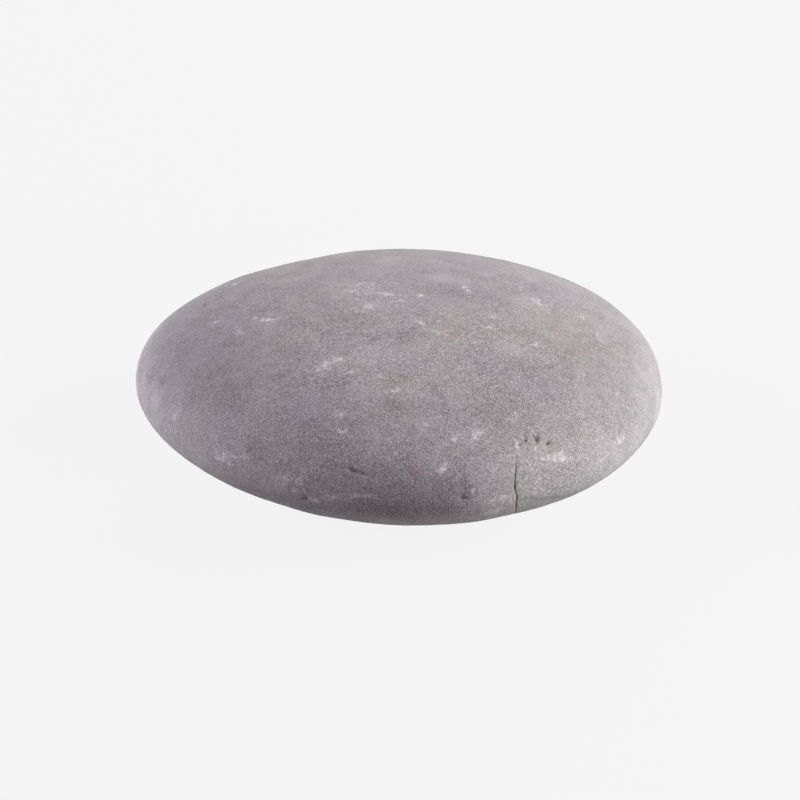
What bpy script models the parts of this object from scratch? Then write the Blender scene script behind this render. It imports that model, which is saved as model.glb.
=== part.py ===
"""A flat, oval river pebble, worn smooth by water, with one short crack in its rim.

The stone is one solid. It starts as a cube that is blown out to a rounded form, gets two
shallow worn hollows and a small flat to rest on, and is then cut by a crack, a chip scar
and a few pits. Units are metres and +Z is up. The origin is on the resting flat, under the
middle of the stone, with the stone's length along X and its cracked side towards -Y.
"""

import math

import bmesh
import bpy
from mathutils import Matrix, Vector
from mathutils.bvhtree import BVHTree

MM = 0.001

# The stone's own sizes.
LENGTH = 92.0 * MM
WIDTH = 75.5 * MM
FULL_HEIGHT = 33.0 * MM  # before the resting flat is worn off the underside
WORN_OFF = 0.6 * MM

# How the form departs from an ellipsoid. An exponent of 2 is an ellipse, and more is fuller.
TOP_FULLNESS = 2.2
UNDERSIDE_FULLNESS = 2.0
THREE_LOBES = 0.019  # part of the half width by which the outline swells three times
THREE_LOBES_TURN = math.radians(53.5)
FOUR_LOBES = 0.005
RIM_SLOPE = 0.017  # how far the rim drops towards +X, for each metre of length

# Cells along each edge of the starting cube.
GRID_CUTS = 23

# Shallow hollows, worn where the stone lay against others: centre measured from the middle
# of the rim, depth, and spread.
WORN_HOLLOWS = (
    ((-20.7 * MM, 24.7 * MM, 11.0 * MM), 0.31 * MM, 8.4 * MM),
    ((17.9 * MM, -30.8 * MM, -7.7 * MM), 0.20 * MM, 3.6 * MM),
)

# The crack, from its upper end on the face to its lower end under the rim. Each station
# has the distance along X and the height from the middle of the rim, the width of the
# mouth, and the depth.
CRACK = (
    (18.25 * MM, 6.3 * MM, 0.06 * MM, 0.15 * MM),
    (17.90 * MM, 5.6 * MM, 0.14 * MM, 0.60 * MM),
    (17.97 * MM, 4.4 * MM, 0.30 * MM, 1.30 * MM),
    (17.86 * MM, 3.5 * MM, 0.34 * MM, 1.60 * MM),
    (17.70 * MM, 2.2 * MM, 0.38 * MM, 1.90 * MM),
    (17.72 * MM, 1.4 * MM, 0.42 * MM, 2.10 * MM),
    (17.92 * MM, 0.5 * MM, 0.42 * MM, 2.20 * MM),
    (18.12 * MM, -0.5 * MM, 0.40 * MM, 2.20 * MM),
    (18.16 * MM, -1.6 * MM, 0.40 * MM, 2.20 * MM),
    (17.94 * MM, -2.8 * MM, 0.42 * MM, 2.10 * MM),
    (18.22 * MM, -4.2 * MM, 0.44 * MM, 2.00 * MM),
    (18.20 * MM, -5.6 * MM, 0.40 * MM, 1.70 * MM),
    (17.95 * MM, -7.0 * MM, 0.30 * MM, 1.20 * MM),
    (18.05 * MM, -8.3 * MM, 0.16 * MM, 0.60 * MM),
    (17.90 * MM, -9.2 * MM, 0.06 * MM, 0.15 * MM),
)
CRACK_OVERHANG = 0.25 * MM  # how far the cutter stands out of the stone

# Hollows cut by flattened balls. Each has the distance along X and the height of its centre
# from the middle of the rim, its length and breadth on the surface, its depth, and the turn
# of its length from level.
SCAR = (20.9 * MM, 5.6 * MM, 5.6 * MM, 3.4 * MM, 0.34 * MM, math.radians(-12))
PITS = (
    (19.70 * MM, 6.75 * MM, 1.30 * MM, 0.55 * MM, 0.30 * MM, math.radians(38)),
    (21.00 * MM, 7.15 * MM, 0.90 * MM, 0.75 * MM, 0.40 * MM, 0.0),
    (23.25 * MM, 6.15 * MM, 0.95 * MM, 0.70 * MM, 0.40 * MM, math.radians(40)),
    (-7.30 * MM, 4.45 * MM, 2.60 * MM, 0.60 * MM, 0.40 * MM, math.radians(-4)),
    (-15.75 * MM, -1.75 * MM, 0.70 * MM, 0.60 * MM, 0.35 * MM, 0.0),
    (9.30 * MM, 0.30 * MM, 0.70 * MM, 0.60 * MM, 0.35 * MM, 0.0),
)
BALL_SEGMENTS = 14
BALL_RINGS = 8
BALL_RAISED = 0.3  # how far the ball's middle stands off the surface, as a part of the depth

STONE_COLOUR = (0.29, 0.265, 0.28, 1.0)
STONE_ROUGHNESS = 0.88


def clear_scene():
    """Remove whatever the scene starts with."""
    for obj in list(bpy.data.objects):
        bpy.data.objects.remove(obj, do_unlink=True)


def new_collection(name):
    collection = bpy.data.collections.new(name)
    bpy.context.scene.collection.children.link(collection)
    return collection


def add_mesh_object(name, shape, collection):
    """Turn a bmesh into an object in the collection."""
    mesh = bpy.data.meshes.new(name)
    shape.to_mesh(mesh)
    shape.free()
    obj = bpy.data.objects.new(name, mesh)
    collection.objects.link(obj)
    return obj


def rounded_direction(corner):
    """Carry a point of the starting cube to the unit sphere, in nearly even steps."""
    bent = Vector(math.tan(part * math.pi / 4) for part in corner)
    return bent.normalized()


def stone_point(direction):
    """Carry a point of the unit sphere to the stone, measured from the middle of its rim."""
    outward = math.hypot(direction.x, direction.y)
    upward = direction.z
    turn = math.atan2(direction.y, direction.x)
    fullness = TOP_FULLNESS if upward >= 0 else UNDERSIDE_FULLNESS
    pull = (outward**fullness + abs(upward) ** fullness) ** (-1 / fullness)
    outward *= pull
    upward *= pull
    swell = 1 + THREE_LOBES * outward**3 * math.cos(3 * (turn - THREE_LOBES_TURN))
    swell += FOUR_LOBES * outward**4 * math.cos(4 * turn)
    x = LENGTH / 2 * outward * math.cos(turn) * swell
    y = WIDTH / 2 * outward * math.sin(turn) * swell
    z = FULL_HEIGHT / 2 * upward - RIM_SLOPE * x
    return Vector((x, y, z))


def worn_in(point):
    """Press the worn hollows into the stone at a point, along each hollow's own direction."""
    pressed = point.copy()
    for centre, depth, spread in WORN_HOLLOWS:
        centre = Vector(centre)
        inward = -Vector((centre.x / LENGTH**2, centre.y / WIDTH**2, centre.z / FULL_HEIGHT**2)).normalized()
        away = (point - centre).length / spread
        pressed += inward * depth * math.exp(-(away**2) / 2)
    return pressed


def round_stone():
    """The stone's whole form, with its rim's middle at the origin."""
    shape = bmesh.new()
    bmesh.ops.create_cube(shape, size=2.0)
    bmesh.ops.subdivide_edges(shape, edges=shape.edges[:], cuts=GRID_CUTS, use_grid_fill=True)
    for vertex in shape.verts:
        vertex.co = worn_in(stone_point(rounded_direction(vertex.co)))
    return shape


def wear_resting_flat(shape):
    """Slice the lowest part off the stone and close the cut with one flat face."""
    level = min(vertex.co.z for vertex in shape.verts) + WORN_OFF
    everything = shape.verts[:] + shape.edges[:] + shape.faces[:]
    bmesh.ops.bisect_plane(
        shape, geom=everything, dist=0.001 * MM, plane_co=(0, 0, level), plane_no=(0, 0, -1), clear_outer=True
    )
    open_edges = [edge for edge in shape.edges if edge.is_boundary]
    for edge in open_edges:
        for vertex in edge.verts:
            vertex.co.z = level
    bmesh.ops.holes_fill(shape, edges=open_edges)
    bmesh.ops.recalc_face_normals(shape, faces=shape.faces[:])


def rim_middle(shape):
    """Where the middle of the rim comes to lie once the stone stands on the origin."""
    lows = [min(vertex.co[axis] for vertex in shape.verts) for axis in range(3)]
    highs = [max(vertex.co[axis] for vertex in shape.verts) for axis in range(3)]
    return Vector((-(lows[0] + highs[0]) / 2, -(lows[1] + highs[1]) / 2, -lows[2]))


def on_front(tree, middle, along, height):
    """The point of the cracked side at a distance along X and a height, and its outward normal."""
    start = middle + Vector((along, -WIDTH, height))
    point, normal, _, _ = tree.ray_cast(start, Vector((0, 1, 0)))
    return point, normal


def crack_section(tree, middle, station):
    """One three-cornered section of the crack's cutter: its root in the stone, and its open side."""
    along, height, width, depth = station
    point, normal = on_front(tree, middle, along, height)
    root = point - normal * depth
    open_middle = point + normal * CRACK_OVERHANG
    half = width / 2 * (depth + CRACK_OVERHANG) / depth
    side = Vector((half, 0, 0))
    return root, open_middle - side, open_middle + side


def crack_cutter(tree, middle, collection):
    """A thin wedge, lofted through the crack's stations."""
    shape = bmesh.new()
    sections = []
    for station in CRACK:
        corners = crack_section(tree, middle, station)
        sections.append([shape.verts.new(corner) for corner in corners])
    for upper, lower in zip(sections, sections[1:]):
        for first in range(3):
            second = (first + 1) % 3
            shape.faces.new((upper[first], upper[second], lower[second], lower[first]))
    shape.faces.new(sections[0])
    shape.faces.new(sections[-1])
    bmesh.ops.triangulate(shape, faces=shape.faces[:])
    bmesh.ops.recalc_face_normals(shape, faces=shape.faces[:])
    return add_mesh_object("crack_cutter", shape, collection)


def hollow_cutter(name, tree, middle, hollow, collection):
    """A ball flattened onto the stone's surface, which scoops out a shallow hollow."""
    along, height, length, breadth, depth, turn = hollow
    point, normal = on_front(tree, middle, along, height)
    level = Vector((0, 0, 1)).cross(normal).normalized()
    across = normal.cross(level)
    facing = Matrix((level, across, normal)).transposed().to_4x4()
    stretch = Matrix.Diagonal((length / 2, breadth / 2, depth * (1 + BALL_RAISED), 1))
    centre = point + normal * depth * BALL_RAISED
    place = Matrix.Translation(centre) @ facing @ Matrix.Rotation(turn, 4, "Z") @ stretch
    shape = bmesh.new()
    bmesh.ops.create_uvsphere(shape, u_segments=BALL_SEGMENTS, v_segments=BALL_RINGS, radius=1, matrix=place)
    return add_mesh_object(name, shape, collection)


def cut(stone, cutter):
    """Cut the cutter's space out of the stone, and keep the cutter as a hidden guide."""
    cutter.hide_render = True
    cutter.display_type = "WIRE"
    modifier = stone.modifiers.new(cutter.name, "BOOLEAN")
    modifier.operation = "DIFFERENCE"
    modifier.solver = "EXACT"
    modifier.object = cutter


def stone_material():
    """Fine-grained grey stone, with a dull, water-worn surface."""
    material = bpy.data.materials.new("worn_stone")
    material.use_nodes = True
    shader = material.node_tree.nodes["Principled BSDF"]
    shader.inputs["Base Color"].default_value = STONE_COLOUR
    shader.inputs["Roughness"].default_value = STONE_ROUGHNESS
    shader.inputs["Metallic"].default_value = 0.0
    return material


def main():
    clear_scene()
    parts = new_collection("river_pebble")
    cutters = new_collection("pebble_cutters")

    shape = round_stone()
    wear_resting_flat(shape)
    middle = rim_middle(shape)
    bmesh.ops.translate(shape, verts=shape.verts[:], vec=middle)
    tree = BVHTree.FromBMesh(shape)
    stone = add_mesh_object("pebble", shape, parts)
    stone.data.shade_smooth()
    stone.data.materials.append(stone_material())

    cut(stone, hollow_cutter("scar_cutter", tree, middle, SCAR, cutters))
    for number, pit in enumerate(PITS, start=1):
        cut(stone, hollow_cutter(f"pit_cutter_{number}", tree, middle, pit, cutters))
    cut(stone, crack_cutter(tree, middle, cutters))


main()
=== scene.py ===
"""The looks of a flat, oval river pebble: its worn surface, its cracked rim and its stone.

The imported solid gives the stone's place and size. This script replaces it with a finer
surface of the same form, with the grain, the pits, the scuffs and the crack that water and
knocks have left on it, and sets it on a pale table under soft studio light.
"""

import logging
import math
from dataclasses import dataclass, field
from enum import Enum, IntEnum

import bpy
import numpy as np
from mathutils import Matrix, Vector


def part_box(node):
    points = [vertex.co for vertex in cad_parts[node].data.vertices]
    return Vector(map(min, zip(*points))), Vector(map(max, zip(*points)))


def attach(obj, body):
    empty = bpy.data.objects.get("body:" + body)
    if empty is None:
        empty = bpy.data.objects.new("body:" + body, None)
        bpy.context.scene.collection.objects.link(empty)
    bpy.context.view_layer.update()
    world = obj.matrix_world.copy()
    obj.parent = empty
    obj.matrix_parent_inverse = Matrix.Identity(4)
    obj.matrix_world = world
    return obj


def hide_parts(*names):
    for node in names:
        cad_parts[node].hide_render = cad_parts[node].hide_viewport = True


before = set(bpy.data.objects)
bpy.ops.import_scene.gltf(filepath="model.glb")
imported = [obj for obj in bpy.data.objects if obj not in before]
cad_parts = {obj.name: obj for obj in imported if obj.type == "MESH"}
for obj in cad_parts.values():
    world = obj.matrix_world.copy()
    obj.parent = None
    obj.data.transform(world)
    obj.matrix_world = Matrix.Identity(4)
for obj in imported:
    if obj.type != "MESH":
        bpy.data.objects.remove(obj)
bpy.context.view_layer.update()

MM = 0.001
NODE = "pebble"
BODY = "root"

Point = tuple[float, float, float]
Tree = bpy.types.NodeTree
Socket = bpy.types.NodeSocket

log = logging.getLogger("river_pebble")


class Mark(Enum):
    """What a spot on the stone's surface carries, by the name of its mesh attribute."""

    SCUFF = "scuff"
    PALE = "pale"
    # darker patches: dark tone in the stone, and painted shade along the low front rim
    DUSKY_AND_SHADE = "dusky"
    MAUVE = "mauve"
    RUST = "rust"
    OCHRE = "ochre"
    COOL = "cool"
    RUBBED = "rubbed"
    # the pits' dark fill: dirt and painted shade
    HOLLOW = "hollow"
    LIP = "lip"
    CRACK = "crack"


class Seed(IntEnum):
    """Where each kind of draw starts. Lumps and wavers take the next one for each size."""

    LUMPS = 11
    PATCHES = 21
    PITS = 22
    WAVERS = 31
    RAGGED_PITS = 41
    RAGGED_SCUFFS = 51


# --- Small helpers -------------------------------------------------------------------------


def linear(hex_colour: str) -> tuple[float, float, float, float]:
    """Turn an sRGB colour into the linear one that a shader takes.

    Args:
        hex_colour: six hex digits, such as "9c9599".

    Returns:
        Red, green, blue and an alpha of 1.
    """
    parts = np.array([int(hex_colour[at : at + 2], 16) for at in (0, 2, 4)]) / 255.0
    curved = np.where(parts <= 0.04045, parts / 12.92, ((parts + 0.055) / 1.055) ** 2.4)
    return (*(float(part) for part in curved), 1.0)


def add_node(tree: Tree, kind: str, settings: dict, inputs: dict) -> bpy.types.Node:
    """Add one shader node.

    Args:
        tree: the node tree that takes it.
        kind: the node's type in Blender, less the ShaderNode that all their names start with.
        settings: the node's own settings, by name.
        inputs: for input sockets, by name or number, the value of each or the socket that feeds it.

    Returns:
        The new node.
    """
    node = tree.nodes.new("ShaderNode" + kind)
    for name, value in settings.items():
        setattr(node, name, value)
    for name, value in inputs.items():
        if isinstance(value, Socket):
            tree.links.new(value, node.inputs[name])
        else:
            node.inputs[name].default_value = value
    return node


def add_object(name: str, data: bpy.types.ID) -> bpy.types.Object:
    """Put an object into the scene.

    Args:
        name: what it is called.
        data: its mesh, light or camera.

    Returns:
        The object, at the origin.
    """
    thing = bpy.data.objects.new(name, data)
    bpy.context.scene.collection.objects.link(thing)
    return thing


def smooth_step(low: float, high: float, value: np.ndarray) -> np.ndarray:
    """Rise from 0 at low to 1 at high, with level ends: 3t^2 - 2t^3."""
    part = np.clip((value - low) / (high - low), 0.0, 1.0)
    return part * part * (3.0 - 2.0 * part)


def ripples(points: np.ndarray, wavelength: float, seed: int) -> np.ndarray:
    """A rolling, cloud-like field: the sum of plane waves in all directions, of about one length.

    Each wave is cos(k.p + phase), with k pointing anywhere and as long as the mean wave
    number times one of the paces, and the sum is scaled to have a spread of 1.

    Args:
        points: positions, one row each, in metres.
        wavelength: the mean distance from crest to crest, in metres.
        seed: picks the waves.

    Returns:
        One value for each point.
    """
    waves = 48
    slowest, fastest = 0.7, 1.4
    draw = np.random.default_rng(seed)
    aim = draw.normal(size=(waves, 3))
    aim /= np.linalg.norm(aim, axis=1, keepdims=True)
    pace = 2.0 * math.pi / wavelength * draw.uniform(slowest, fastest, size=(waves, 1))
    phase = draw.uniform(0.0, 2.0 * math.pi, size=waves)
    run = points.astype(np.float32) @ (aim * pace).T.astype(np.float32)
    return np.cos(run + phase.astype(np.float32)).sum(axis=1) / math.sqrt(waves / 2.0)


# --- The stone's form ----------------------------------------------------------------------


@dataclass(frozen=True)
class WornHollow:
    """A shallow hollow, worn where the stone lay against another.

    Attributes:
        centre: its middle, measured from the middle of the stone's rim.
        depth: how deep it is in the middle.
        spread: how far out it has faded to three fifths of that.
    """

    centre: Point
    depth: float
    spread: float


@dataclass(frozen=True)
class PebbleForm:
    """The stone's whole form, as a function of the direction from the middle of its rim.

    Attributes:
        length: its length along X, before the lobes swell it.
        width: its width along Y.
        full_height: its height before the resting flat is worn off.
        top_fullness: how full its top is. At 2 it is an ellipse, and more is fuller.
        underside_fullness: how full its underside is.
        three_lobes: the part by which its outline swells three times.
        three_lobes_turn: where the first of the three swells.
        four_lobes: the part by which it swells four times.
        rim_slope: how far the rim drops towards +X, for each metre of length.
        hollows: the worn hollows.
    """

    length: float = 92.0 * MM
    width: float = 75.5 * MM
    full_height: float = 33.0 * MM
    top_fullness: float = 2.2
    underside_fullness: float = 2.0
    three_lobes: float = 0.019
    three_lobes_turn: float = math.radians(53.5)
    four_lobes: float = 0.005
    rim_slope: float = 0.017
    hollows: tuple[WornHollow, ...] = (
        WornHollow((-20.7 * MM, 24.7 * MM, 11.0 * MM), 0.31 * MM, 8.4 * MM),
        WornHollow((17.9 * MM, -30.8 * MM, -7.7 * MM), 0.20 * MM, 3.6 * MM),
    )

    def swell(self, turn: np.ndarray, outward: np.ndarray) -> np.ndarray:
        """How far the outline swells past an ellipse: 1 + a r^3 cos 3(t - t0) + b r^4 cos 4t."""
        lobes = self.three_lobes * outward**3 * np.cos(3.0 * (turn - self.three_lobes_turn))
        return 1.0 + lobes + self.four_lobes * outward**4 * np.cos(4.0 * turn)

    def points(self, aims: np.ndarray) -> np.ndarray:
        """Carry unit directions to the stone's surface.

        The outward and upward parts of a direction are pulled onto the curve
        r^n + |h|^n = 1, with n the fullness of the top or of the underside. They are then
        stretched to the stone's half sizes, swollen by its lobes, and sloped along X.

        Args:
            aims: unit directions, one row each.

        Returns:
            Positions measured from the middle of the rim, in metres.
        """
        outward = np.hypot(aims[:, 0], aims[:, 1])
        upward = aims[:, 2]
        turn = np.arctan2(aims[:, 1], aims[:, 0])
        fullness = np.where(upward >= 0.0, self.top_fullness, self.underside_fullness)
        pull = (outward**fullness + np.abs(upward) ** fullness) ** (-1.0 / fullness)
        outward = outward * pull
        swell = self.swell(turn, outward)
        x = self.length / 2.0 * outward * np.cos(turn) * swell
        y = self.width / 2.0 * outward * np.sin(turn) * swell
        z = self.full_height / 2.0 * upward * pull - self.rim_slope * x
        return self.worn_in(np.stack([x, y, z], axis=1))

    def worn_in(self, points: np.ndarray) -> np.ndarray:
        """Press the worn hollows in: each by depth * exp(-(distance / spread)^2 / 2).

        Args:
            points: the unworn surface, measured from the middle of the rim.

        Returns:
            The worn surface.
        """
        pressed = points.copy()
        for hollow in self.hollows:
            centre = np.array(hollow.centre)
            away = np.linalg.norm(points - centre, axis=1) / hollow.spread
            inward = -self.outward_at(centre[None, :])
            pressed += inward * (hollow.depth * np.exp(-(away**2) / 2.0))[:, None]
        return pressed

    def outward_at(self, points: np.ndarray) -> np.ndarray:
        """The outward direction at points: along (x / length^2, y / width^2, z / height^2)."""
        out = points / np.array([self.length, self.width, self.full_height]) ** 2
        return out / np.linalg.norm(out, axis=1, keepdims=True)

    def aim_on_front(self, along: np.ndarray, height: np.ndarray) -> tuple[np.ndarray, np.ndarray]:
        """Find the directions of points on the cracked side from their X and height.

        The height gives how far the direction leans up, and X then gives its turn, found
        by a few rounds because the lobes depend on the turn a little.

        Args:
            along: distances along X from the middle of the rim.
            height: heights from the middle of the rim.

        Returns:
            The turn of each direction about Z, and its upward part.
        """
        rounds = 6
        level = (height + self.rim_slope * along) / (self.full_height / 2.0)
        fullness = np.where(level >= 0.0, self.top_fullness, self.underside_fullness)
        outward = (1.0 - np.abs(level) ** fullness) ** (1.0 / fullness)
        turn = np.full_like(along, -math.pi / 2.0)
        for _ in range(rounds):
            turn = -np.arccos(along / (self.length / 2.0 * outward * self.swell(turn, outward)))
        return turn, level / np.hypot(outward, level)


# --- What time has done to the surface -----------------------------------------------------


@dataclass(frozen=True)
class Spot:
    """An oval place on the stone's surface: a pit, a dip, a scuff or a stain, in millimetres.

    Attributes:
        centre: its middle, measured from the middle of the stone's rim.
        length: its length across the surface.
        breadth: its breadth.
        turn: how far its length is turned from X, in degrees, anticlockwise from outside.
        amount: how deep a pit is, or how much there is of a scuff or a stain, from 0 to 1.
        power: how steep its edge is.
        dirt_and_shade: how dark a pit is painted, from 0 to 1: the dirt it holds, and painted shade in
            its hollow.
    """

    centre: Point
    length: float
    breadth: float
    turn: float
    amount: float
    power: float = 2.5
    dirt_and_shade: float = 1.0

    @classmethod
    def from_row(cls, row: tuple[float, ...]) -> "Spot":
        """Make a spot from a row: the x, y and z of its middle, then its other values."""
        return cls(row[:3], *row[3:])

    def fade(self, form: PebbleForm, points: np.ndarray, stretch: np.ndarray | float) -> np.ndarray:
        """How much of the spot there is at each point: exp(-(stretch * ring)^power).

        The ring is 0 in the spot's middle and 1 at its edge. The oval lies in the plane that
        touches the stone at its middle, and doesn't reach points far off that plane, which
        are round the stone's side. Its long way is X laid into the plane, or Y at the stone's
        two ends, turned by the spot's turn.

        Args:
            form: the stone's form.
            points: positions measured from the middle of the rim, in metres.
            stretch: a factor on the rings, which makes the edge ragged.

        Returns:
            One value for each point, from 0 to 1.
        """
        centre = np.array([self.centre]) * MM
        normal = form.outward_at(centre)[0]
        at_an_end = abs(normal[0]) >= 0.9
        level = np.array([0.0, 1.0, 0.0] if at_an_end else [1.0, 0.0, 0.0])
        level -= normal * (level @ normal)
        level /= np.linalg.norm(level)
        rise = np.cross(normal, level)
        away = (points - centre) / MM
        flat, high = away @ level, away @ rise
        turn = math.radians(self.turn)
        along = flat * math.cos(turn) + high * math.sin(turn)
        across = high * math.cos(turn) - flat * math.sin(turn)
        ring = np.hypot(2.0 * along / self.length, 2.0 * across / self.breadth)
        far_off = 4.0 + self.length / 4.0
        near = np.abs(away @ normal) < far_off
        return near * np.exp(-((stretch * ring) ** self.power))


@dataclass(frozen=True)
class Ragged:
    """Ripples that make the edges of spots ragged, as a factor on their rings.

    Attributes:
        sway: how much the ripples count.
        size: how far apart their crests are.
        least: the least factor.
        most: the greatest factor.
        seed: picks the ripples.
    """

    sway: float
    size: float
    least: float
    most: float
    seed: Seed

    def factor(self, points: np.ndarray) -> np.ndarray:
        """The factor at each point: 1 + sway * ripples, kept between the least and the most."""
        return np.clip(1.0 + self.sway * ripples(points, self.size, self.seed), self.least, self.most)


@dataclass(frozen=True)
class Crease:
    """A faint edge across the surface, past which the stone lies a little lower.

    Attributes:
        start: one end, in millimetres from the middle of the rim.
        end: the other end. The low side is on the right of the way there, from outside.
        bow: how far the middle of the edge bends towards the low side, in millimetres.
        depth: how much lower the stone lies, in millimetres.
        width: how wide the slope down is, in millimetres.
        fade: how far past the edge the stone has come up again, in millimetres.
    """

    start: Point
    end: Point
    bow: float
    depth: float
    width: float
    fade: float

    def drop(self, form: PebbleForm, points: np.ndarray) -> np.ndarray:
        """How much lower each point lies, in millimetres.

        With s from -1 to 1 along the edge and d the way past it, the drop is
        depth * step(d / width) * exp(-(d / fade)^2) * exp(-s^4).

        Args:
            form: the stone's form.
            points: positions measured from the middle of the rim, in metres.

        Returns:
            One value for each point, which is 0 on the far side of the stone.
        """
        far_off = 5.0
        start, end = np.array(self.start), np.array(self.end)
        middle = (start + end) / 2.0
        normal = form.outward_at(middle[None, :] * MM)[0]
        half = np.linalg.norm(end - start) / 2.0
        along = (end - start) / (2.0 * half)
        right = np.cross(along, normal)
        away = points / MM - middle
        share = away @ along / half
        past = away @ right - self.bow * (1.0 - np.clip(share, -1.0, 1.0) ** 2)
        fall = smooth_step(0.0, self.width, past) * np.exp(-((past / self.fade) ** 2) - share**4)
        return np.where(np.abs(away @ normal) < far_off, self.depth * fall, 0.0)


@dataclass(frozen=True)
class Crack:
    """The short crack in the rim, from its upper end on the face to its lower end below.

    Attributes:
        stations: distance along X and height from the middle of the rim, width of the
            mouth, and depth, from the top down, in millimetres.
        front: how far round from the crack its side of the stone reaches, in radians.
        lip: how far from each edge the stone is worn round.
        lip_depth: how much is worn off there.
        stain_top: how high above the middle of the rim the stain beside it begins.
        stain_fade: how much lower it reaches its full strength.
        stain_away: how far the middle of the stain is from the crack's line.
        stain_reach: how wide the stain is on each side of its middle.
        silt: how much of its depth silt has filled.
        wavers: how far apart its small bends are and how far they stray, for each size.
        soiled_from: the part of its mouth's profile where dirt begins to show.
        soiled_full: the part where it shows in full.
        soiled_depth: how deep it is where dirt hides the stone in it.
    """

    stations: tuple[tuple[float, float, float, float], ...] = (
        (18.9, 6.95, 0.12, 0.1), (18.25, 6.3, 0.14, 0.22), (17.92, 5.6, 0.14, 0.22),
        (17.95, 4.7, 0.14, 0.26), (17.93, 4.45, 0.18, 0.9), (17.88, 3.6, 0.19, 1.2),
        (17.7, 2.9, 0.19, 1.2), (17.78, 2.2, 0.19, 1.4), (17.74, 1.4, 0.2, 1.8),
        (17.78, 0.4, 0.2, 1.8), (17.84, -0.1, 0.18, 1), (18.12, -0.7, 0.21, 1.6),
        (18.2, -1.3, 0.2, 1.4), (18, -2, 0.19, 1.2), (18.04, -3, 0.22, 1.4),
        (18.26, -3.9, 0.22, 1.4), (18.1, -4.6, 0.2, 1), (18.2, -5.6, 0.2, 0.9),
        (17.95, -7, 0.18, 0.8), (18.05, -8.3, 0.14, 0.6), (17.9, -9.2, 0.06, 0.15),
    )
    front: float = 0.5
    lip: float = 0.30 * MM
    lip_depth: float = 0.03 * MM
    stain_top: float = 2.6 * MM
    stain_fade: float = 1.0 * MM
    stain_away: float = -0.28 * MM
    stain_reach: float = 0.17 * MM
    silt: float = 0.84
    wavers: tuple[tuple[float, float], ...] = ((1.3 * MM, 0.030 * MM), (0.5 * MM, 0.030 * MM))
    soiled_from: float = 0.1
    soiled_full: float = 0.7
    soiled_depth: float = 2.0 * MM

    def route(self, form: PebbleForm) -> np.ndarray:
        """Carry the crack's stations onto the stone.

        Args:
            form: the stone's form.

        Returns:
            Rows of upward part, turn, width and depth, lowest first.
        """
        rows = np.array(self.stations) * MM
        turn, upward = form.aim_on_front(rows[:, 0], rows[:, 1])
        return np.stack([upward, turn, rows[:, 2], rows[:, 3]], axis=1)[::-1]

    def reach(
        self, form: PebbleForm, aims: np.ndarray, points: np.ndarray
    ) -> tuple[np.ndarray, np.ndarray, np.ndarray]:
        """How far each point is from the crack's line, and how wide and deep the crack is there.

        The distance is the turn past the line times the speed of the surface per turn,
        which is hypot(y length / width, x width / length) on an oval.

        Args:
            form: the stone's form.
            aims: unit directions, one row each.
            points: the surface's points in those directions.

        Returns:
            The distance along the surface, positive towards +X, the width and the depth,
            which are 0 past the crack's ends.
        """
        far_off = 1.0
        upward, turn, width, depth = self.route(form).T
        past = np.arctan2(aims[:, 1], aims[:, 0]) - np.interp(aims[:, 2], upward, turn)
        oval = form.length / form.width
        away = past * np.hypot(points[:, 1] * oval, points[:, 0] / oval)
        near = np.abs(past) < self.front
        width_here = np.interp(aims[:, 2], upward, width, left=0.0, right=0.0)
        depth_here = np.interp(aims[:, 2], upward, depth, left=0.0, right=0.0)
        return np.where(near, away, far_off), near * width_here, near * depth_here


#: pits and dips on the side that shows: rows of the x, y and z of the middle, then length,
#: breadth, turn, depth, power and dirt with painted shade, in millimetres and degrees
PITS: tuple[tuple[float, ...], ...] = (
    (20.8, -31.7, 5.3, 5.8, 4, -10, 0.14, 4, 0), (18.8, -31.7, 6.9, 1.1, 0.5, 30, 0.26, 3, 0.95),
    (19.6, -31.2, 7, 0.8, 0.5, -30, 0.24, 3, 0.9), (20.4, -30.7, 7.1, 0.8, 0.35, 20, 0.14, 3, 0.5),
    (21, -30.2, 7.2, 1.3, 0.6, 0, 0.26, 3, 0.8), (21.4, -30.5, 6.9, 1.1, 0.8, 80, 0.34, 3, 0.9),
    (22.2, -30.9, 6.4, 0.6, 0.4, 20, 0.1, 3, 0.4), (23.3, -30.3, 6.1, 1.2, 0.7, 50, 0.36, 3, 1),
    (-8.6, -36, 4.8, 1, 0.6, -20, 0.22, 3, 0.6), (-7.7, -36.3, 4.5, 2, 0.7, -15, 0.3, 3, 0.85),
    (-6.4, -36.6, 4.2, 1.6, 0.6, -15, 0.26, 3, 0.8), (-15.8, -34.6, -1.8, 0.7, 0.6, 0, 0.35, 3),
    (9.4, -37.6, 0.2, 0.8, 0.55, 0, 0.38, 3), (9.5, -37.2, 2.6, 1.3, 3.2, 0, 0.1, 2, 0.25),
    (-1.9, -12.9, 15.8, 13, 1.6, 0, 0.07, 2, 0.1), (-35.2, 5.8, 11.9, 0.5, 0.7, 0, 0.2, 3),
)

#: faint edges on the side that shows, in millimetres
CREASES: tuple[Crease, ...] = (
    Crease((-16.3, 18.5, 14), (-27.5, 9.3, 13.7), -0.8, 0.16, 1, 7),
    Crease((19.5, -34.9, -1.4), (27.5, -29.3, -4.9), 0, 0.26, 0.4, 4),
    Crease((17.9, -32.7, 6), (24.2, -30, 5.6), -1.7, 0.13, 0.6, 2.8),
)

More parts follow.
